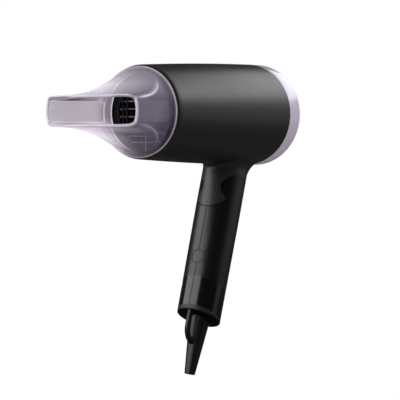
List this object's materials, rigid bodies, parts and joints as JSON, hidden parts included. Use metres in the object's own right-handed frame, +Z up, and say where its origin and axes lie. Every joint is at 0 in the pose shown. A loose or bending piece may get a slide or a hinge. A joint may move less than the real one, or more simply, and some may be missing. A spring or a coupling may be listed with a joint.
{
  "type": "hair dryer",
  "caption": "Travel hair dryer with a tapered barrel, a fold-under handle, a slot concentrator nozzle that turns on the barrel, and a cord boot with a hanging loop.",
  "frame": {"origin": "on the barrel axis, halfway along the black barrel shell, where a holder ring takes the barrel", "axes": "+X along the barrel towards the nozzle, +Y to the dryer's left, +Z up; the handle leans forward below the barrel"},
  "size_m": [0.236, 0.083, 0.2454],
  "materials": {
    "satin_black": "satin moulded",
    "handle_black": "satin, glossy below the emblem place",
    "foot_black": "matte moulded",
    "lavender_clear": "translucent tinted",
    "lavender_pearl": "pearl lacquer",
    "inner_black": "matte moulded",
    "boot_rubber": "matte",
    "nylon_natural": "moulded",
    "mica": "sheet",
    "steel": "plain",
    "heater_wire": "oxidised",
    "brass": "plain",
    "board_green": "solder mask",
    "filter_mesh": "fine mesh",
    "button_black": "satin moulded"
  },
  "bodies": {
    "barrel": {"barrel_shell": "satin_black", "outlet_grille": "inner_black", "rear_ring": "lavender_pearl", "inlet_grille": "inner_black", "inlet_filter": "filter_mesh", "motor_mount": "nylon_natural", "motor_can": "steel", "rectifier_board": "board_green", "rectifier_diodes": "inner_black", "heater_cross": "mica", "heater_coil": "heater_wire", "mica_sleeve": "mica", "thermostat": "steel", "thermal_fuse": "nylon_natural"},
    "nozzle": {"nozzle": "lavender_clear"},
    "fan": {"fan_impeller": "inner_black", "motor_shaft": "steel"},
    "handle": {"handle_left_shell": "handle_black", "handle_right_shell": "handle_black", "end_cap": "foot_black", "strain_relief": "boot_rubber", "hinge_pin": "steel", "hinge_washers": "brass", "handle_screws": "steel", "switch_board": "board_green", "switch_body": "inner_black", "cool_shot_switch": "inner_black", "cord_clamp": "nylon_natural", "cord_clamp_screws": "steel"},
    "switch_knob": {"switch_knob": "button_black"},
    "cool_shot_button": {"cool_shot_button": "button_black"}
  },
  "joints": [
    {"name": "handle_fold", "type": "hinge", "parent": "barrel", "child": "handle", "pos_m": [-0.03629, 0, -0.06079], "axis": [0, -1, 0], "range_deg": [0, 70]},
    {"name": "nozzle_turn", "type": "hinge", "parent": "barrel", "child": "nozzle", "pos_m": [0.08, 0, 0], "axis": [1, 0, 0], "continuous": true},
    {"name": "fan_spin", "type": "hinge", "parent": "barrel", "child": "fan", "pos_m": [-0.066, 0, 0], "axis": [1, 0, 0], "continuous": true},
    {"name": "switch_slide", "type": "slide", "parent": "handle", "child": "switch_knob", "axis": [-0.3371, 0, 0.9415], "range_m": [0, 0.008]},
    {"name": "cool_shot_press", "type": "slide", "parent": "handle", "child": "cool_shot_button", "axis": [-0.9415, 0, -0.3371], "range_m": [0, 0.0015], "stiffness_N_per_m": 400, "springref_m": -0.002}
  ]
}
